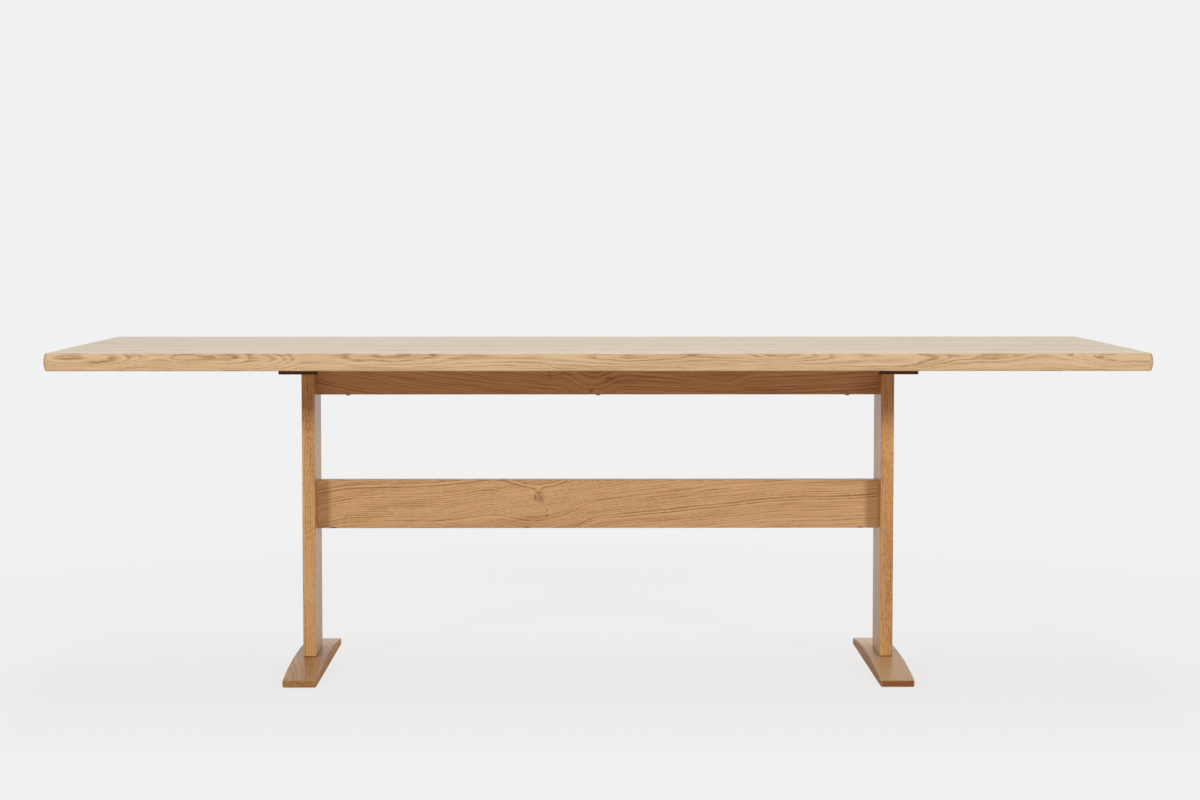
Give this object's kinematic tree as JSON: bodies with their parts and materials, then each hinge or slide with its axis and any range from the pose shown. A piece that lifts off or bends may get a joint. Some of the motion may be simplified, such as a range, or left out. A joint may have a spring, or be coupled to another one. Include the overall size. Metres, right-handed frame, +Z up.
{
  "type": "trestle dining table",
  "caption": "Rectangular solid-oak dining table: plank legs on arched runner feet, joined by a stretcher and an upper rail under a staved top with a barrel-shaped edge.",
  "frame": {"origin": "on the floor, under the middle of the table top", "axes": "+X along the table's length, +Y from the front to the back, +Z up"},
  "size_m": [2.403, 0.9, 0.755],
  "materials": {
    "oiled_oak": "hard-wax oil, satin",
    "beech_dowel": "raw",
    "zinc_plated_steel": "zinc plated, satin",
    "insert_brass": "turned",
    "nylon_glide": "moulded, matte"
  },
  "bodies": {
    "root": {"top_stave_1": "oiled_oak", "top_stave_2": "oiled_oak", "top_stave_3": "oiled_oak", "top_stave_4": "oiled_oak", "top_stave_5": "oiled_oak", "top_stave_6": "oiled_oak", "top_stave_7": "oiled_oak", "top_stave_8": "oiled_oak", "top_stave_9": "oiled_oak", "upper_rail": "oiled_oak", "stretcher": "oiled_oak", "left_bearer": "oiled_oak", "right_bearer": "oiled_oak", "left_leg": "oiled_oak", "right_leg": "oiled_oak", "left_foot": "oiled_oak", "right_foot": "oiled_oak", "stretcher_dowels": "beech_dowel", "rail_dowels": "beech_dowel", "left_bearer_screws": "zinc_plated_steel", "right_bearer_screws": "zinc_plated_steel", "left_foot_screws": "zinc_plated_steel", "right_foot_screws": "zinc_plated_steel", "left_stretcher_bolt": "zinc_plated_steel", "right_stretcher_bolt": "zinc_plated_steel", "left_barrel_nut": "zinc_plated_steel", "right_barrel_nut": "zinc_plated_steel", "left_bearer_bolts": "zinc_plated_steel", "right_bearer_bolts": "zinc_plated_steel", "rail_bolts": "zinc_plated_steel", "glide_screws": "zinc_plated_steel", "rail_inserts": "insert_brass", "bearer_inserts": "insert_brass", "foot_glides": "nylon_glide"}
  },
  "joints": []
}
